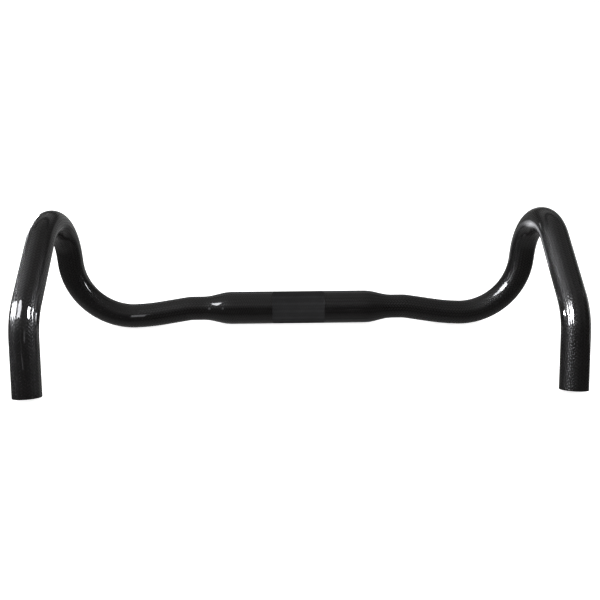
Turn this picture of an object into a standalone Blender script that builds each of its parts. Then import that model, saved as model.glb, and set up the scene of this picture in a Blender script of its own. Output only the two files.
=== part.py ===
"""Bare road drop handlebar in moulded carbon composite.

The bar is built in bicycle terms: +X to the rider's left, +Y up, +Z forward, origin at the middle of the stem clamp
on the bar's axis. The empty "stand" then leans it back onto a table, so that in the world +Z is up, the hooks point
up, and the bar rests on its two open ends and on the back of its tops. Sizes are in metres and degrees.
"""

import math

import bmesh
import bpy
from mathutils import Matrix, Vector

# Tube sizes. The clamp and the hooks have the standard diameters that stems and brake levers fit.
CLAMP_DIAMETER = 0.0318
TOPS_DIAMETER = 0.0232
GRIP_DIAMETER = 0.0238
CLAMP_WALL = 0.0028
WALL = 0.0020

# Tops. Each HALF is a distance from the middle of the bar.
BAND_HALF = 0.025
BAND_THICKNESS = 0.0005
CLAMP_HALF = 0.066
NECK_HALF = 0.092
STRAIGHT_HALF = 0.102
SWEEP_RADIUS = 0.040
SWEEP_ANGLE = 9
JOINT_RUN = 0.025
TOPS_CURVE_RADIUS = 0.200
TOPS_CURVE_ANGLE = 7.5

# Shoulder, and the short ramp that carries it into the hook.
SHOULDER_RADIUS = 0.057
RAMP_FLARE = 3
RAMP_DROP = 9
RAMP_LENGTH = 0.008

# Hook and drop. HOOK_LEAN is the slope of the bends' axis, which flares the foot of the hook outwards.
HOOK_RADIUS = 0.040
HOOK_ANGLE = 128
REACH_RUN = 0.062
DROP_RADIUS = 0.052
DROP_ANGLE = 35
END_RUN = 0.047
HOOK_LEAN = 0.07

# Bonded joint between the centre section and each hook. GAP is the thickness of every bond line.
SLEEVE_HALF = 0.012
SLEEVE_WALL = 0.0015
GAP = 0.0003

# The lean that brings the back of the tops and the rims of the ends down to one level.
STAND_LEAN = 12.33

SIDES = 24
LARGEST_STEP = 8
SAME = 1e-6

LEFTWARD = Vector((1, 0, 0))
UPWARD = Vector((0, 1, 0))

JOINT_AT = STRAIGHT_HALF + SWEEP_RADIUS * math.radians(SWEEP_ANGLE) + JOINT_RUN / 2
SHOULDER_AT = JOINT_AT + JOINT_RUN / 2 + TOPS_CURVE_RADIUS * math.radians(TOPS_CURVE_ANGLE)
SHOULDER_LENGTH = SHOULDER_RADIUS * math.radians(85)


def straight(stations, length, steps=1):
    """Carries the centreline straight on."""
    walked, point, direction = stations[-1]
    for i in range(1, steps + 1):
        part = length * i / steps
        stations.append((walked + part, point + direction * part, direction))


def bend(stations, axis, radius, degrees):
    """Carries the centreline round an arc, turning right-handed about an axis square to it."""
    walked, point, direction = stations[-1]
    centre = point + axis.cross(direction) * radius
    steps = math.ceil(degrees / LARGEST_STEP)
    for i in range(1, steps + 1):
        angle = math.radians(degrees) * i / steps
        turn = Matrix.Rotation(angle, 3, axis)
        stations.append((walked + radius * angle, centre + turn @ (point - centre), turn @ direction))


def left_half():
    """Stations from the middle of the clamp to the left end: distance walked, point and direction."""
    stations = [(0.0, Vector((0, 0, 0)), LEFTWARD)]
    straight(stations, BAND_HALF + GAP)
    straight(stations, CLAMP_HALF - BAND_HALF - GAP, 2)
    straight(stations, NECK_HALF - CLAMP_HALF, 6)
    straight(stations, STRAIGHT_HALF - NECK_HALF)
    bend(stations, UPWARD, SWEEP_RADIUS, SWEEP_ANGLE)
    straight(stations, (JOINT_RUN - GAP) / 2)
    straight(stations, GAP)
    straight(stations, (JOINT_RUN - GAP) / 2)
    bend(stations, -UPWARD, TOPS_CURVE_RADIUS, TOPS_CURVE_ANGLE)

    tops = stations[-1][2]
    flare = math.radians(RAMP_FLARE)
    drop = math.radians(RAMP_DROP)
    ramp = Vector((math.sin(flare), -math.sin(drop), math.cos(flare) * math.cos(drop))).normalized()
    bend(stations, tops.cross(ramp).normalized(), SHOULDER_RADIUS, math.degrees(tops.angle(ramp)))
    straight(stations, RAMP_LENGTH)

    hinge = Vector((1, HOOK_LEAN, 0))
    hinge = (hinge - ramp * hinge.dot(ramp)).normalized()
    bend(stations, hinge, HOOK_RADIUS, HOOK_ANGLE)
    straight(stations, REACH_RUN, 3)
    bend(stations, hinge, DROP_RADIUS, DROP_ANGLE)
    straight(stations, END_RUN, 2)
    return stations


def mirrored(stations):
    """The same stations on the rider's right."""
    flip = Matrix.Scale(-1, 3, LEFTWARD)
    return [(walked, flip @ point, flip @ direction) for walked, point, direction in stations]


def whole_width(stations):
    """One run along +X through both halves, from stations that start at the middle."""
    right = [(walked, point, -direction) for walked, point, direction in mirrored(stations)]
    return right[:0:-1] + stations


def ease(value):
    """Rises smoothly from 0 to 1 as value does."""
    value = min(max(value, 0.0), 1.0)
    return value * value * (3 - 2 * value)


def outer_radius(walked):
    """Outside of the bar: the clamp zone narrows to the tops, which widen a little into the hooks."""
    narrow = ease((walked - CLAMP_HALF) / (NECK_HALF - CLAMP_HALF))
    widen = ease((walked - SHOULDER_AT) / SHOULDER_LENGTH)
    diameter = CLAMP_DIAMETER + (TOPS_DIAMETER - CLAMP_DIAMETER) * narrow
    return (diameter + (GRIP_DIAMETER - TOPS_DIAMETER) * widen) / 2


def inner_radius(walked):
    """Bore of the bar, whose wall is thicker under the stem clamp."""
    narrow = ease((walked - CLAMP_HALF) / (NECK_HALF - CLAMP_HALF))
    return outer_radius(walked) - CLAMP_WALL - (WALL - CLAMP_WALL) * narrow


def profile(stations, radius_at):
    """Rows of point, direction and radius along the stations."""
    return [(point, direction, radius_at(walked)) for walked, point, direction in stations]


def seated_profile(stations):
    """The skin of the centre section, which steps down square into the band's seat."""
    edge = BAND_HALF + GAP
    seat = CLAMP_DIAMETER / 2 - BAND_THICKNESS - GAP
    rows = []
    for walked, point, direction in stations:
        radii = [outer_radius(walked)]
        if walked < edge - SAME:
            radii = [seat]
        elif walked < edge + SAME:
            radii = [seat, outer_radius(walked)] if point.x > 0 else [outer_radius(walked), seat]
        rows += [(point, direction, radius) for radius in radii]
    return rows


def add_rings(mesh, rows):
    """One ring of vertices for each row, right-handed about the tube and carried along it without twist."""
    before = rows[0][1]
    across = (UPWARD - before * UPWARD.dot(before)).normalized()
    rings = []
    for point, direction, radius in rows:
        across = before.rotation_difference(direction) @ across
        side = direction.cross(across)
        angles = [2 * math.pi * k / SIDES for k in range(SIDES)]
        rings.append([mesh.verts.new(point + (across * math.cos(a) + side * math.sin(a)) * radius) for a in angles])
        before = direction
    return rings


def tube(name, skin, bore, material, parent):
    """Closed swept tube with flat ring ends, from the rows of its skin and of its bore."""
    mesh = bmesh.new()
    rings = add_rings(mesh, skin) + add_rings(mesh, bore)[::-1]
    for here, there in zip(rings, rings[1:] + rings[:1]):
        for k in range(SIDES):
            after = (k + 1) % SIDES
            mesh.faces.new((here[k], here[after], there[after], there[k]))
    data = bpy.data.meshes.new(name)
    mesh.to_mesh(data)
    mesh.free()
    data.shade_smooth()
    data.set_sharp_from_angle(angle=math.radians(40))
    data.materials.append(material)
    piece = bpy.data.objects.new(name, data)
    piece.parent = parent
    bpy.context.scene.collection.objects.link(piece)


def finish(name, colour, roughness, coat):
    """A plain non-metal finish with a clear coat."""
    material = bpy.data.materials.new(name)
    material.use_nodes = True
    shader = material.node_tree.nodes["Principled BSDF"]
    shader.inputs["Base Color"].default_value = (*colour, 1)
    shader.inputs["Roughness"].default_value = roughness
    shader.inputs["Coat Weight"].default_value = coat
    return material


def centre_section(stations, material, parent):
    """Tops and clamp zone, as far as the bond line at each hook."""
    run = whole_width([station for station in stations if station[0] < JOINT_AT])
    tube("centre_section", seated_profile(run), profile(run, inner_radius), material, parent)


def hook(side, stations, material, parent):
    """Shoulder, hook and drop of one side, cut square and open at its end."""
    run = [station for station in stations if station[0] > JOINT_AT]
    tube(f"{side}_hook", profile(run, outer_radius), profile(run, inner_radius), material, parent)


def joint_sleeve(side, stations, material, parent):
    """Short straight sleeve inside the bar, half in the centre section and half in the hook."""
    last = [station for station in stations if station[0] < JOINT_AT][-1]
    middle = last[1] + last[2] * GAP / 2
    ends = [(0.0, middle - last[2] * SLEEVE_HALF, last[2]), (0.0, middle + last[2] * SLEEVE_HALF, last[2])]
    outer = TOPS_DIAMETER / 2 - WALL - GAP
    skin = profile(ends, lambda walked: outer)
    bore = profile(ends, lambda walked: outer - SLEEVE_WALL)
    tube(f"{side}_joint_sleeve", skin, bore, material, parent)


def clamp_band(material, parent):
    """Thin anti-slip band round the middle, flush with the clamp zone."""
    ends = [(0.0, LEFTWARD * -BAND_HALF, LEFTWARD), (0.0, LEFTWARD * BAND_HALF, LEFTWARD)]
    outer = CLAMP_DIAMETER / 2
    skin = profile(ends, lambda walked: outer)
    bore = profile(ends, lambda walked: outer - BAND_THICKNESS)
    tube("clamp_band", skin, bore, material, parent)


def handlebar():
    """The whole bar, leaned back to stand on a level surface."""
    left = left_half()
    stand = bpy.data.objects.new("stand", None)
    stand.rotation_euler.x = -math.radians(STAND_LEAN)
    bpy.context.scene.collection.objects.link(stand)

    weave = finish("carbon_weave", (0.022, 0.021, 0.021), 0.35, 1.0)
    laminate = finish("raw_laminate", (0.03, 0.03, 0.03), 0.6, 0.0)
    grit = finish("grip_coating", (0.045, 0.045, 0.048), 0.7, 0.2)
    centre_section(left, weave, stand)
    clamp_band(grit, stand)
    for side, stations in (("left", left), ("right", mirrored(left))):
        hook(side, stations, weave, stand)
        joint_sleeve(side, stations, laminate, stand)


for old in list(bpy.data.objects):
    bpy.data.objects.remove(old)
handlebar()
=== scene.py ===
import math

import bmesh
import bpy
from mathutils import Matrix, Vector


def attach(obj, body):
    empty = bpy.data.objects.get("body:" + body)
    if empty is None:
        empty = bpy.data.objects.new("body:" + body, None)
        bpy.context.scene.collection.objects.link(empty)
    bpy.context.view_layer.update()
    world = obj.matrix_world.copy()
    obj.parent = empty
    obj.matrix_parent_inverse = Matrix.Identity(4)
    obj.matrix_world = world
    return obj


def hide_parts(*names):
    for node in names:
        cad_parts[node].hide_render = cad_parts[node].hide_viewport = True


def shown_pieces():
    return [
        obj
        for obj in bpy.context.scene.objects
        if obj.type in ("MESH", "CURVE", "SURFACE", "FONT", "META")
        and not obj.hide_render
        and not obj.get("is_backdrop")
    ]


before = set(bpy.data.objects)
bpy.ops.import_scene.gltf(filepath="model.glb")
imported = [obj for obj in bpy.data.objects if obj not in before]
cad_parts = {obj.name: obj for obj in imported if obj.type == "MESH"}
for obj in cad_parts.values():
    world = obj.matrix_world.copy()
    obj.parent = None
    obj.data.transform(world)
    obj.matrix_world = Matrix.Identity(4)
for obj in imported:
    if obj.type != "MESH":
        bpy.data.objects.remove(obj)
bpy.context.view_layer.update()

# The driving sizes of the bar, as in its CAD, in metres and degrees.
CLAMP_DIAMETER = 0.0318
TOPS_DIAMETER = 0.0232
GRIP_DIAMETER = 0.0238
CLAMP_WALL = 0.0028
WALL = 0.0020
BAND_HALF = 0.025
BAND_THICKNESS = 0.0005
CLAMP_HALF = 0.066
NECK_HALF = 0.092
STRAIGHT_HALF = 0.102
SWEEP_RADIUS = 0.040
SWEEP_ANGLE = 9
JOINT_RUN = 0.025
TOPS_CURVE_RADIUS = 0.200
TOPS_CURVE_ANGLE = 7.5
SHOULDER_RADIUS = 0.057
RAMP_FLARE = 3
RAMP_DROP = 9
RAMP_LENGTH = 0.008
HOOK_RADIUS = 0.040
HOOK_ANGLE = 128
REACH_RUN = 0.062
DROP_RADIUS = 0.052
DROP_ANGLE = 35
END_RUN = 0.047
HOOK_LEAN = 0.07
GAP = 0.0003
STAND_LEAN = 12.33

# How finely the shells are cut.
SIDES = 96
RUN_STEP = 0.005
BEND_STEP = 2.5
SAME = 1e-6

# Edges that turn by more than this are shaded sharp.
SHARP_ANGLE = 40

# The cut ends are deburred by hand. Each support row keeps the skin flat up to a rounded edge.
CUT_ROUNDING = 0.00035
CUT_SUPPORT = 0.0008
SEAT_ROUNDING = 0.00012
SEAT_SUPPORT = 0.0004
BAND_SPREAD = 0.00025
ROUND_STEPS = 4

# The braid: tows in each direction round the tube, and the width of one.
TOWS = 28
TOW_WIDTH = 0.00195
PLY = 0.00025
# Each braid's two tones, for the tows and for the band, are one dark carbon with a painted sheen: the high
# tone paints one tow direction lit and the low tone paints the other in shade.
TOW_SHADED = (0.0048, 0.0044, 0.0044)
TOW_SHEEN = (0.0052, 0.0048, 0.0047)
BAND_SHADED = (0.0135, 0.0135, 0.0140)
BAND_SHEEN = (0.0165, 0.0165, 0.0172)

# The clear coat: sags everywhere, and ridges along the bar where the braid bunches at the drop's bend.
COAT_ROUGHNESS = 0.035
COAT_IOR = 1.38
SAG_HEIGHT = 0.00015
RIDGES = 16
RIDGE_HEIGHT = 0.00019
RIDGE_WANDER = 3.0
RIDGE_LEAST = 0.02

# Zones of a shell, which are also its material numbers.
SKIN = 0
CUT = 1
BORE = 2

LEFTWARD = Vector((1, 0, 0))
UPWARD = Vector((0, 1, 0))

JOINT_AT = STRAIGHT_HALF + SWEEP_RADIUS * math.radians(SWEEP_ANGLE) + JOINT_RUN / 2
SHOULDER_AT = JOINT_AT + JOINT_RUN / 2 + TOPS_CURVE_RADIUS * math.radians(TOPS_CURVE_ANGLE)
SHOULDER_LENGTH = SHOULDER_RADIUS * math.radians(85)

# Where the drop bends, as a distance along the bar from its middle, and how far from there the ridges fade.
DROP_AT = 0.423
DROP_FADE = 0.022

# The studio, with the camera's place in metres and its turn in degrees.
LAMP_COLOUR = (0.95, 0.96, 1.0)
WHITE = (1, 1, 1, 1)
TABLE_COLOUR = (0.90, 0.90, 0.90, 1)
TABLE_GLOW = 0.85
TABLE_REACH = 12.0
LENS = 45.97
EYE_AT = (-0.0219, -0.6954, 0.2982)
EYE_TURN = (67.333, -0.114, -1.916)


# ---------------------------------------------------------------- the bar's centreline

def straight(stations, length):
    """Carries the centreline straight on."""
    walked, point, direction, across = stations[-1]
    steps = math.ceil(length / RUN_STEP)
    for i in range(1, steps + 1):
        part = length * i / steps
        stations.append((walked + part, point + direction * part, direction, across))


def bend(stations, axis, radius, degrees):
    """Carries the centreline round an arc, turning right-handed about an axis square to it."""
    walked, point, direction, across = stations[-1]
    centre = point + axis.cross(direction) * radius
    steps = math.ceil(degrees / BEND_STEP)
    for i in range(1, steps + 1):
        angle = math.radians(degrees) * i / steps
        turn = Matrix.Rotation(angle, 3, axis)
        place = centre + turn @ (point - centre)
        stations.append((walked + radius * angle, place, turn @ direction, turn @ across))


def left_half():
    """Stations from the middle of the clamp to the left end: distance walked, point, direction and across."""
    stations = [(0.0, Vector((0, 0, 0)), LEFTWARD, UPWARD)]
    straight(stations, BAND_HALF + GAP)
    straight(stations, CLAMP_HALF - BAND_HALF - GAP)
    straight(stations, NECK_HALF - CLAMP_HALF)
    straight(stations, STRAIGHT_HALF - NECK_HALF)
    bend(stations, UPWARD, SWEEP_RADIUS, SWEEP_ANGLE)
    straight(stations, (JOINT_RUN - GAP) / 2)
    straight(stations, GAP)
    straight(stations, (JOINT_RUN - GAP) / 2)
    bend(stations, -UPWARD, TOPS_CURVE_RADIUS, TOPS_CURVE_ANGLE)

    tops = stations[-1][2]
    flare = math.radians(RAMP_FLARE)
    drop = math.radians(RAMP_DROP)
    ramp = Vector((math.sin(flare), -math.sin(drop), math.cos(flare) * math.cos(drop))).normalized()
    bend(stations, tops.cross(ramp).normalized(), SHOULDER_RADIUS, math.degrees(tops.angle(ramp)))
    straight(stations, RAMP_LENGTH)

    hinge = Vector((1, HOOK_LEAN, 0))
    hinge = (hinge - ramp * hinge.dot(ramp)).normalized()
    bend(stations, hinge, HOOK_RADIUS, HOOK_ANGLE)
    straight(stations, REACH_RUN)
    bend(stations, hinge, DROP_RADIUS, DROP_ANGLE)
    straight(stations, END_RUN)
    return stations


def ease(value):
    """Rises smoothly from 0 to 1 as value does."""
    value = min(max(value, 0.0), 1.0)
    return value * value * (3 - 2 * value)


def outer_radius(walked):
    """Outside of the bar: the clamp zone narrows to the tops, which widen a little into the hooks."""
    narrow = ease((abs(walked) - CLAMP_HALF) / (NECK_HALF - CLAMP_HALF))
    widen = ease((abs(walked) - SHOULDER_AT) / SHOULDER_LENGTH)
    diameter = CLAMP_DIAMETER + (TOPS_DIAMETER - CLAMP_DIAMETER) * narrow
    return (diameter + (GRIP_DIAMETER - TOPS_DIAMETER) * widen) / 2


def inner_radius(walked):
    """Bore of the bar, whose wall is thicker under the stem clamp."""
    narrow = ease((abs(walked) - CLAMP_HALF) / (NECK_HALF - CLAMP_HALF))
    return outer_radius(walked) - CLAMP_WALL - (WALL - CLAMP_WALL) * narrow


def ridging(walked):
    """How high the coat's ridges are: 1 at the drop's bend, and little elsewhere."""
    away = abs(abs(walked) - DROP_AT)
    return 1 - (1 - RIDGE_LEAST) * ease((away - DROP_FADE / 2) / DROP_FADE)


def braid_runs(stations):
    """How many tows cross a line along the bar, from the middle to each station's distance."""
    tallies = [0.0]
    left = [station for station in stations if station[0] >= 0]
    for here, there in zip(left, left[1:]):
        around = 2 * math.pi * outer_radius((here[0] + there[0]) / 2)
        rate = math.sqrt(1 / TOW_WIDTH ** 2 - (TOWS / around) ** 2)
        tallies.append(tallies[-1] + rate * (there[0] - here[0]))
    return [station[0] for station in left], tallies


def tows_along(walked, runs):
    """The braid's count along the bar at a distance from the middle."""
    distances, tallies = runs
    reach = abs(walked)
    k = 1
    while k < len(distances) - 1 and distances[k] < reach:
        k += 1
    part = (reach - distances[k - 1]) / (distances[k] - distances[k - 1])
    count = tallies[k - 1] + (tallies[k] - tallies[k - 1]) * part
    return math.copysign(count, walked)


# ---------------------------------------------------------------- meshes

def moved(station, shift):
    """A station carried straight on by a shift."""
    walked, point, direction, across = station
    return (walked + shift, point + direction * shift, direction, across)


def corner(station, radius, way_in, way_out, size, zone):
    """Rows that round a corner at a station and radius; each way is (along the bar, outwards)."""
    rows = []
    for i in range(ROUND_STEPS + 1):
        turn = math.pi / 2 * i / ROUND_STEPS
        before = size * (1 - math.sin(turn))
        after = size * (1 - math.cos(turn))
        along = way_out[0] * after - way_in[0] * before
        out = way_out[1] * after - way_in[1] * before
        rows.append((moved(station, along), radius + out, zone))
    return rows


def mirrored(stations):
    """The same stations on the rider's right, in order along +X."""
    flip = Matrix.Scale(-1, 3, LEFTWARD)
    right = []
    for walked, point, direction, across in stations:
        right.append((-walked, flip @ point, -(flip @ direction), flip @ across))
    return right[::-1]


def braid_count(row, zone, runs):
    """The braid coordinate of a row: tows along the bar, or on a cut face the depth through the wall."""
    station, radius, _ = row
    if zone == CUT:
        return (radius - inner_radius(station[0])) / PLY
    return tows_along(station[0], runs)


def swept(name, rows, runs, materials, node=None, flip=False):
    """Closed piece swept round the bar's axis, from rows of (station, radius, zone up to the next row)."""
    mesh = bmesh.new()
    weave = mesh.loops.layers.uv.new("weave")
    ripple = mesh.verts.layers.float.new("ripple")
    hand = -1 if flip else 1
    rings = []
    for (walked, point, direction, across), radius, zone in rows:
        side = direction.cross(across)
        ridge = ridging(walked)
        ring = []
        for k in range(SIDES):
            angle = 2 * math.pi * k / SIDES
            spot = point + (across * math.cos(angle) + side * math.sin(angle)) * radius
            spot.x *= hand
            ring.append(mesh.verts.new(spot))
            ring[-1][ripple] = ridge
        rings.append(ring)
    for i, row in enumerate(rows):
        after = (i + 1) % len(rows)
        here = braid_count(row, row[2], runs) * hand
        there = braid_count(rows[after], row[2], runs) * hand
        for k in range(SIDES):
            turned = (k + 1) % SIDES
            corners = [
                (rings[i][k], here, k),
                (rings[i][turned], here, k + 1),
                (rings[after][turned], there, k + 1),
                (rings[after][k], there, k),
            ]
            if flip:
                corners.reverse()
            face = mesh.faces.new([vert for vert, along, turn in corners])
            face.material_index = row[2]
            for loop, (vert, along, turn) in zip(face.loops, corners):
                loop[weave].uv = (along, TOWS * turn / SIDES)
    data = bpy.data.meshes.new(name)
    mesh.to_mesh(data)
    mesh.free()
    data.shade_smooth()
    data.set_sharp_from_angle(angle=math.radians(SHARP_ANGLE))
    for material in materials:
        data.materials.append(material)
    piece = bpy.data.objects.new(name, data)
    bpy.context.scene.collection.objects.link(piece)
    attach(piece, "root")
    if node:
        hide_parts(node)
    return piece


def hook_rows(left):
    """Skin, rounded cut end and bore of a hook, from the bond line to the end and back."""
    run = [station for station in left if station[0] > JOINT_AT]
    end = run[-1]
    outer = outer_radius(end[0])
    inner = inner_radius(end[0])
    rows = [(station, outer_radius(station[0]), SKIN) for station in run[:-1]]
    rows.append((moved(end, -CUT_SUPPORT), outer, SKIN))
    rows += corner(end, outer, (1, 0), (0, -1), CUT_ROUNDING, SKIN)
    rows[-1] = (rows[-1][0], rows[-1][1], CUT)
    rows += corner(end, inner, (0, -1), (-1, 0), CUT_ROUNDING, BORE)
    rows.append((moved(end, -CUT_SUPPORT), inner, BORE))
    rows += [(station, inner_radius(station[0]), BORE) for station in run[-2::-1]]
    return rows


def centre_rows(left):
    """Skin and bore of the centre section, with the seat for the band."""
    half = [station for station in left if station[0] < JOINT_AT]
    run = mirrored(half)[:-1] + half
    edge = BAND_HALF + GAP
    seat = CLAMP_DIAMETER / 2 - BAND_THICKNESS - GAP
    outer = CLAMP_DIAMETER / 2
    rows = []
    for station in run:
        walked = station[0]
        if abs(abs(walked) - edge) < SAME:
            if walked < 0:
                rows.append((moved(station, -SEAT_SUPPORT), outer, SKIN))
                rows += corner(station, outer, (1, 0), (0, -1), SEAT_ROUNDING, SKIN)
                rows.append((station, seat, SKIN))
            else:
                rows.append((station, seat, SKIN))
                rows += corner(station, outer, (0, 1), (1, 0), SEAT_ROUNDING, SKIN)
                rows.append((moved(station, SEAT_SUPPORT), outer, SKIN))
        elif abs(walked) < edge:
            rows.append((station, seat, SKIN))
        else:
            rows.append((station, outer_radius(walked), SKIN))
    rows += [(station, inner_radius(station[0]), BORE) for station in run[::-1]]
    return rows


def band_rows(left):
    """The band, seated, with its edges softened."""
    edge = BAND_HALF + BAND_SPREAD
    seat = CLAMP_DIAMETER / 2 - BAND_THICKNESS - GAP
    outer = CLAMP_DIAMETER / 2
    middle = left[0]
    low = moved(middle, -edge)
    high = moved(middle, edge)
    steps = math.ceil(2 * edge / RUN_STEP)
    rows = [(low, seat, SKIN)]
    rows += corner(low, outer, (0, 1), (1, 0), SEAT_ROUNDING, SKIN)
    rows.append((moved(low, SEAT_SUPPORT), outer, SKIN))
    rows += [(moved(low, 2 * edge * i / steps), outer, SKIN) for i in range(1, steps)]
    rows.append((moved(high, -SEAT_SUPPORT), outer, SKIN))
    rows += corner(high, outer, (1, 0), (0, -1), SEAT_ROUNDING, SKIN)
    rows += [(moved(high, -2 * edge * i / steps), seat, SKIN) for i in range(steps)]
    return rows


def bond_rows(left):
    """The ring of cured adhesive and finish coat that fills a bond line."""
    before = [station for station in left if station[0] < JOINT_AT][-1]
    after = [station for station in left if station[0] > JOINT_AT][0]
    outer = outer_radius(before[0])
    inner = inner_radius(before[0])
    return [(before, outer, SKIN), (after, outer, BORE), (after, inner, BORE), (before, inner, BORE)]


# ---------------------------------------------------------------- materials

def add(tree, kind, values=None, **settings):
    """A new node with its settings made and its inputs given a value or linked to another node's output."""
    made = tree.nodes.new(kind)
    for name, value in settings.items():
        setattr(made, name, value)
    for key, value in (values or {}).items():
        if isinstance(value, bpy.types.NodeSocket):
            tree.links.new(value, made.inputs[key])
        else:
            made.inputs[key].default_value = value
    return made


def maths(tree, operation, *values):
    """The output of a Math node."""
    return add(tree, "ShaderNodeMath", dict(enumerate(values)), operation=operation).outputs[0]


def blended(tree, factor, low, high):
    """A colour between two colours."""
    made = add(tree, "ShaderNodeMix", {"Factor": factor, 6: low, 7: high}, data_type="RGBA")
    return made.outputs[2]


def eased(tree, value, start, end, low=0.0, high=1.0, kind="SMOOTHSTEP"):
    """A value carried from its range, start to end, into the range low to high."""
    values = {0: value, 1: start, 2: end, 3: low, 4: high}
    return add(tree, "ShaderNodeMapRange", values, interpolation_type=kind).outputs[0]


def noise(tree, place, scale, detail=2.0, roughness=0.5):
    """A noise value near 0.5 at a place."""
    values = {"Vector": place, "Scale": scale, "Detail": detail, "Roughness": roughness}
    return add(tree, "ShaderNodeTexNoise", values).outputs["Fac"]


def new_material(name):
    """A material, its node tree and its Principled shader."""
    material = bpy.data.materials.new(name)
    material.use_nodes = True
    tree = material.node_tree
    return material, tree, tree.nodes["Principled BSDF"]


def braid(tree):
    """Sockets that describe the 2/2 twill braid at a point.

    U + V and U - V count the tows of the two directions: the whole part is the tow, and the fraction is the
    place across it.
    """
    uv = add(tree, "ShaderNodeUVMap", uv_map="weave").outputs[0]
    split = add(tree, "ShaderNodeSeparateXYZ", {0: uv})
    along = split.outputs[0]
    around = split.outputs[1]
    first = maths(tree, "ADD", along, around)
    second = maths(tree, "SUBTRACT", along, around)
    first_tow = maths(tree, "FLOOR", first)
    second_tow = maths(tree, "FLOOR", second)
    step = maths(tree, "FLOORED_MODULO", maths(tree, "SUBTRACT", first_tow, second_tow), 4.0)
    on_top = maths(tree, "LESS_THAN", step, 1.5)

    # Where the point lies across its tow and along its float, both 0 to 1.
    first_across = maths(tree, "FRACT", first)
    second_across = maths(tree, "FRACT", second)
    first_float = maths(tree, "ADD", maths(tree, "SUBTRACT", second, first_tow), 1.0)
    first_float = maths(tree, "MULTIPLY", maths(tree, "FLOORED_MODULO", first_float, 4.0), 0.5)
    second_float = maths(tree, "FLOORED_MODULO", maths(tree, "SUBTRACT", first, second_tow), 4.0)
    second_float = maths(tree, "MULTIPLY", maths(tree, "SUBTRACT", second_float, 2.0), 0.5)
    across = add(tree, "ShaderNodeMix", {"Factor": on_top, 2: second_across, 3: first_across}).outputs[0]
    float_at = add(tree, "ShaderNodeMix", {"Factor": on_top, 2: second_float, 3: first_float}).outputs[0]
    tow = add(tree, "ShaderNodeMix", {"Factor": on_top, 2: second_tow, 3: first_tow}).outputs[0]
    tow = maths(tree, "FLOORED_MODULO", tow, float(TOWS))
    return {"on_top": on_top, "across": across, "float_at": float_at, "tow": tow, "around": around}


def hump(tree, value):
    """0 at the ends of 0 to 1 and 1 in the middle."""
    return maths(tree, "MULTIPLY", maths(tree, "MULTIPLY", value, maths(tree, "SUBTRACT", 1.0, value)), 4.0)


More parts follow.
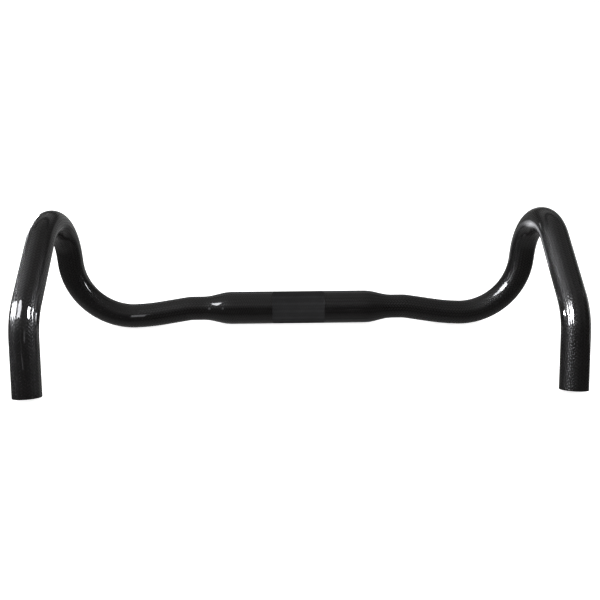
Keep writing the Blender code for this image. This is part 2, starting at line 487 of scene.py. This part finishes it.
def weave_material(name, low, high, roughness, coat, relief):
    """Braided carbon under resin.

    Low and high are the colours of the tows of the two directions: one dark carbon, with a painted sheen that
    lights one direction and shades the other. Roughness is that of the crown of a tow, coat is the weight of
    the clear coat, and relief is the height of the braid.
    """
    material, tree, shader = new_material(name)
    cells = braid(tree)
    place = add(tree, "ShaderNodeTexCoord").outputs["Object"]

    crown = hump(tree, cells["across"])
    dome = hump(tree, cells["float_at"])

    # Fibres: fine across a tow, long along it, and different from tow to tow.
    fibre_place = add(tree, "ShaderNodeCombineXYZ", {
        0: maths(tree, "MULTIPLY", cells["across"], 14.0),
        1: maths(tree, "MULTIPLY", cells["float_at"], 0.7),
        2: maths(tree, "MULTIPLY", cells["tow"], 3.7),
    }).outputs[0]
    fibres = noise(tree, fibre_place, 1.0, 3.0, 0.6)
    drift = noise(tree, place, 55.0, 3.0)

    # Tows differ at random in tone, and the tone drifts slowly along the bar. The edges of each tow and the
    # ends of each float are darker: partly dark resin in the gaps, partly painted shade where the tow dips
    # into the weave.
    shade = maths(tree, "MULTIPLY_ADD", fibres, 0.5, 0.75)
    shade = maths(tree, "MULTIPLY", shade, maths(tree, "MULTIPLY_ADD", drift, 0.6, 0.7))
    edges = maths(tree, "MULTIPLY_ADD", maths(tree, "POWER", crown, 1.2), 0.12, 0.88)
    shade = maths(tree, "MULTIPLY", shade, edges)
    ends = maths(tree, "MULTIPLY_ADD", maths(tree, "POWER", dome, 0.8), 0.1, 0.9)
    shade = maths(tree, "MULTIPLY", shade, ends)
    # The two tow directions take the low and high tones: a painted sheen, with one direction lit and the
    # other shaded.
    colour = blended(tree, cells["on_top"], (*low, 1), (*high, 1))
    colour = add(tree, "ShaderNodeVectorMath", {0: colour}, operation="SCALE")
    tree.links.new(shade, colour.inputs["Scale"])
    tree.links.new(colour.outputs[0], shader.inputs["Base Color"])

    height = maths(tree, "MULTIPLY_ADD", dome, 0.6, maths(tree, "MULTIPLY", crown, 0.4))
    height = maths(tree, "MULTIPLY_ADD", fibres, 0.12, height)
    bump = add(tree, "ShaderNodeBump", {"Strength": 1.0, "Distance": relief, "Height": height})
    tree.links.new(bump.outputs[0], shader.inputs["Normal"])

    # Fibres shine across their own direction, which is half a right angle either way from the bar's.
    turn = maths(tree, "MULTIPLY_ADD", cells["on_top"], 0.25, 0.375)
    tangent = add(tree, "ShaderNodeTangent", direction_type="UV_MAP", uv_map="weave")
    tree.links.new(turn, shader.inputs["Anisotropic Rotation"])
    tree.links.new(tangent.outputs[0], shader.inputs["Tangent"])
    shader.inputs["Anisotropic"].default_value = 0.15

    # The middle of each float shines most; its edges and ends are dull.
    lit = maths(tree, "POWER", maths(tree, "MULTIPLY", crown, dome), 0.8)
    gleam = maths(tree, "MULTIPLY_ADD", lit, 0.7, 0.3)
    gleam = add(tree, "ShaderNodeCombineColor", {0: gleam, 1: gleam, 2: gleam}).outputs[0]
    tree.links.new(gleam, shader.inputs["Specular Tint"])
    dull = maths(tree, "MULTIPLY_ADD", lit, -0.2, roughness + 0.2)
    tree.links.new(dull, shader.inputs["Roughness"])
    shader.inputs["Specular IOR Level"].default_value = 0.1

    # The clear coat is all but flat, with its shallow sags and ridges.
    if coat:
        shader.inputs["Coat Weight"].default_value = coat
        shader.inputs["Coat Roughness"].default_value = COAT_ROUGHNESS
        shader.inputs["Coat IOR"].default_value = COAT_IOR
        bunched = add(tree, "ShaderNodeAttribute", attribute_name="ripple").outputs["Fac"]
        sags = noise(tree, place, 40.0, 2.0)
        turned = maths(tree, "MULTIPLY", cells["around"], 2 * math.pi * RIDGES / TOWS)
        uneven = maths(tree, "MULTIPLY", noise(tree, place, 120.0, 1.0), RIDGE_WANDER)
        ridges = maths(tree, "SINE", maths(tree, "ADD", turned, uneven))
        ridges = maths(tree, "MULTIPLY", ridges, bunched)
        wave = maths(tree, "MULTIPLY_ADD", ridges, RIDGE_HEIGHT, maths(tree, "MULTIPLY", sags, SAG_HEIGHT))
        coat_bump = add(tree, "ShaderNodeBump", {"Strength": 1.0, "Distance": 1.0, "Height": wave})
        tree.links.new(coat_bump.outputs[0], shader.inputs["Coat Normal"])
    return material


def cut_material(name):
    """A sawn and sanded edge of laminate: plies as rings, slightly torn."""
    material, tree, shader = new_material(name)
    uv = add(tree, "ShaderNodeUVMap", uv_map="weave").outputs[0]
    split = add(tree, "ShaderNodeSeparateXYZ", {0: uv})
    place = add(tree, "ShaderNodeTexCoord").outputs["Object"]
    torn = noise(tree, place, 900.0, 3.0)
    depth = maths(tree, "MULTIPLY_ADD", torn, 0.5, split.outputs[0])
    plies = maths(tree, "SINE", maths(tree, "MULTIPLY", depth, 2 * math.pi))
    plies = maths(tree, "MULTIPLY_ADD", plies, 0.5, 0.5)
    grain = noise(tree, place, 5000.0, 2.0)
    tone = maths(tree, "MULTIPLY_ADD", grain, 0.4, maths(tree, "MULTIPLY", plies, 0.6))
    colour = blended(tree, tone, (0.010, 0.010, 0.010, 1), (0.045, 0.044, 0.043, 1))
    tree.links.new(colour, shader.inputs["Base Color"])
    tree.links.new(maths(tree, "MULTIPLY_ADD", grain, 0.3, 0.45), shader.inputs["Roughness"])
    bump = add(tree, "ShaderNodeBump", {"Strength": 1.0, "Distance": 0.00004, "Height": tone})
    tree.links.new(bump.outputs[0], shader.inputs["Normal"])
    return material


def bore_material(name):
    """The inside of the tube: the laminate as the bladder left it, wrinkled and resin-rich."""
    material, tree, shader = new_material(name)
    uv = add(tree, "ShaderNodeUVMap", uv_map="weave").outputs[0]
    place = add(tree, "ShaderNodeTexCoord").outputs["Object"]
    stretched = add(tree, "ShaderNodeVectorMath", {0: uv, 1: (0.25, 1.6, 1.0)}, operation="MULTIPLY")
    wrinkles = noise(tree, stretched.outputs[0], 1.0, 3.0)
    grain = noise(tree, place, 1500.0, 2.0)
    tone = maths(tree, "MULTIPLY_ADD", grain, 0.4, maths(tree, "MULTIPLY", wrinkles, 0.6))
    colour = blended(tree, tone, (0.006, 0.006, 0.006, 1), (0.030, 0.029, 0.028, 1))
    tree.links.new(colour, shader.inputs["Base Color"])
    tree.links.new(maths(tree, "MULTIPLY_ADD", wrinkles, 0.35, 0.3), shader.inputs["Roughness"])
    bump = add(tree, "ShaderNodeBump", {"Strength": 1.0, "Distance": 0.0003, "Height": tone})
    tree.links.new(bump.outputs[0], shader.inputs["Normal"])
    return material


# ---------------------------------------------------------------- the bar

left = left_half()
level = Matrix.Rotation(-math.radians(STAND_LEAN), 3, LEFTWARD)
left = [(station[0], *(level @ vector for vector in station[1:])) for station in left]
runs = braid_runs(left)

skin = weave_material("clear_coated_weave", TOW_SHADED, TOW_SHEEN, roughness=0.30, coat=1.0, relief=0.00025)
band = weave_material("matt_grip_weave", BAND_SHADED, BAND_SHEEN, roughness=0.60, coat=0.0, relief=0.00012)
cut = cut_material("cut_laminate")
bore = bore_material("moulded_bore")
zones = [skin, cut, bore]

swept("left_hook_shell", hook_rows(left), runs, zones, "left_hook")
swept("right_hook_shell", hook_rows(left), runs, zones, "right_hook", flip=True)
swept("centre_section_shell", centre_rows(left), runs, zones, "centre_section")
swept("clamp_band_wrap", band_rows(left), runs, [band], "clamp_band")
swept("left_bond_line", bond_rows(left), runs, zones)
swept("right_bond_line", bond_rows(left), runs, zones, flip=True)
for node in ("left_joint_sleeve", "right_joint_sleeve"):
    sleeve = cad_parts[node]
    sleeve.data.materials.clear()
    sleeve.data.materials.append(cut)


# ---------------------------------------------------------------- studio

def lamp(name, place, target, width, height, power, long_way, spread=180):
    """A softbox at a place, facing a target, its width along the long way, its spread narrowed by a grid."""
    light = bpy.data.lights.new(name, "AREA")
    light.spread = math.radians(spread)
    light.shape = "RECTANGLE"
    light.size = width
    light.size_y = height
    light.energy = power
    light.color = LAMP_COLOUR
    away = (Vector(place) - Vector(target)).normalized()
    wide = Vector(long_way)
    wide = (wide - away * wide.dot(away)).normalized()
    turn = Matrix((wide, away.cross(wide), away)).transposed()
    thing = bpy.data.objects.new(name, light)
    thing.matrix_world = Matrix.Translation(place) @ turn.to_4x4()
    thing.visible_camera = False
    thing.visible_diffuse = False
    bpy.context.scene.collection.objects.link(thing)


# The key light, from the rider's right, which is the left of the view.
lamp("left_softbox", (-0.88, -0.43, 0.79), (-0.1, -0.12, 0.05), 0.65, 0.42, 24, (-0.54, 0.72, -0.64))

# Gridded boxes that edge the rider's right leg.
lamp("side_softbox", (-0.625, -0.076, 0.166), (-0.225, -0.13, 0.01), 0.27, 0.16, 0.42,
     (-0.05, 0.18, -0.20), 24)
lamp("right_softbox", (0.104, -0.121, 0.168), (-0.22, -0.13, 0.0), 0.165, 0.066, 0.30,
     (0.50, 0.45, -0.62), 38)
lamp("back_softbox", (-0.98, 0.98, 0.10), (-0.27, -0.1, 0.05), 0.45, 0.35, 0.20, (0.7, 0.7, 0.0), 20)

# A gridded box that brings up the weave on the rider's left drop.
lamp("grid_softbox", (-0.27, -0.31, 0.30), (0.22, -0.13, 0.0), 0.25, 0.12, 1.6, (0.0, 1.0, 0.0), 38)

# Small gridded boxes for the glint on the tops, the spot on the left hook and the sheen of the left reach.
lamp("glint_softbox", (-0.2295, -0.334, 0.114), (-0.150, -0.012, -0.002), 0.027, 0.11, 0.0017,
     (1.0, 0.0, 0.0), 40)
lamp("spot_softbox", (0.175, 0.051, 0.048), (0.211, -0.029, 0.093), 0.048, 0.058, 0.00080,
     (1.0, 0.0, 0.0), 29)
lamp("reach_softbox", (-0.077, -0.107, 0.147), (0.215, -0.080, 0.085), 0.06, 0.03, 0.16,
     (0.0, 0.83, 0.55), 18)

floor_mesh = bpy.data.meshes.new("table_top")
ground = min((piece.matrix_world @ vert.co).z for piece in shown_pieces() for vert in piece.data.vertices)
corners = [(x * TABLE_REACH, y * TABLE_REACH, ground) for x, y in ((-1, -1), (1, -1), (1, 1), (-1, 1))]
floor_mesh.from_pydata(corners, [], [(0, 1, 2, 3)])
floor = bpy.data.objects.new("table_top", floor_mesh)
bpy.context.scene.collection.objects.link(floor)
floor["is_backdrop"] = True
floor.visible_glossy = False
pale, tree, shader = new_material("pale_table")
shader.inputs["Base Color"].default_value = TABLE_COLOUR
shader.inputs["Roughness"].default_value = 0.9
shader.inputs["Emission Color"].default_value = WHITE
shader.inputs["Emission Strength"].default_value = TABLE_GLOW
shader.inputs["Specular IOR Level"].default_value = 0.1
floor_mesh.materials.append(pale)

world = bpy.data.worlds.new("studio")
bpy.context.scene.world = world
world.use_nodes = True
tree = world.node_tree

# The room that shines reflect, by direction. Its ceiling is bright overhead, at the rider's right and at the
# back, where a dark seam crosses it.
way = add(tree, "ShaderNodeTexCoord").outputs["Generated"]
x, y, z = add(tree, "ShaderNodeSeparateXYZ", {0: way}).outputs
leaning = eased(tree, x, 0.4, -0.3, 0.6, 1.0)
overhead = maths(tree, "MULTIPLY", eased(tree, z, 0.25, 0.80, 0.05, 0.50), leaning)
at_back = maths(tree, "MULTIPLY", eased(tree, y, 0.45, 0.85, 0.0, 0.25), eased(tree, z, 0.30, 0.60))
seam = maths(tree, "MULTIPLY", maths(tree, "COMPARE", z, 0.73, 0.055), maths(tree, "GREATER_THAN", y, 0.35))
unseamed = maths(tree, "MULTIPLY_ADD", seam, -0.8, 1.0)
ceiling = maths(tree, "MULTIPLY", maths(tree, "ADD", overhead, at_back), unseamed)

# The table fades towards the rider's left.
fading = eased(tree, x, 0.25, -0.25, 0.8, 1.2, "LINEAR")
table = maths(tree, "MULTIPLY", eased(tree, z, -0.35, -0.75, 0.0, 0.2), fading)

# Two screens of one height stand behind the bar, the second one at the rider's left.
middle_screen = maths(tree, "MULTIPLY", eased(tree, y, 0.72, 0.92), eased(tree, x, 0.2, -0.1, 0.35, 0.14))
left_screen = maths(tree, "MULTIPLY", eased(tree, x, 0.45, 0.70, 0.0, 0.45), eased(tree, y, 0.35, 0.60))
upright = maths(tree, "MULTIPLY", eased(tree, z, 0.35, 0.05), eased(tree, z, -0.62, -0.40))
screens = maths(tree, "MULTIPLY", maths(tree, "ADD", middle_screen, left_screen), upright)
glow = maths(tree, "ADD", maths(tree, "ADD", ceiling, table), screens)

# The camera sees a white backdrop, and all rays that are neither its own nor a shine meet an even white sky.
sky = tree.nodes["Background"]
sky.inputs["Color"].default_value = WHITE
sky.inputs["Strength"].default_value = 1.0
room = add(tree, "ShaderNodeBackground", {"Color": WHITE, "Strength": glow})
backdrop = add(tree, "ShaderNodeBackground", {"Color": WHITE, "Strength": 1.0})
rays = add(tree, "ShaderNodeLightPath").outputs
unseen = add(tree, "ShaderNodeMixShader", {0: rays["Is Glossy Ray"], 1: sky.outputs[0], 2: room.outputs[0]})
shaders = {0: rays["Is Camera Ray"], 1: unseen.outputs[0], 2: backdrop.outputs[0]}
surface = add(tree, "ShaderNodeMixShader", shaders)
tree.links.new(surface.outputs[0], tree.nodes["World Output"].inputs["Surface"])

camera = bpy.data.cameras.new("camera")
camera.lens = LENS
camera.sensor_width = 36
camera.clip_start = 0.01
camera.clip_end = 100
eye = bpy.data.objects.new("camera", camera)
eye.location = EYE_AT
eye.rotation_euler = [math.radians(angle) for angle in EYE_TURN]
bpy.context.scene.collection.objects.link(eye)
bpy.context.scene.camera = eye

bpy.context.scene.view_settings.view_transform = "Standard"
bpy.context.scene.view_settings.look = "None"
bpy.context.scene.view_settings.exposure = 0.0

bpy.context.view_layer.update()
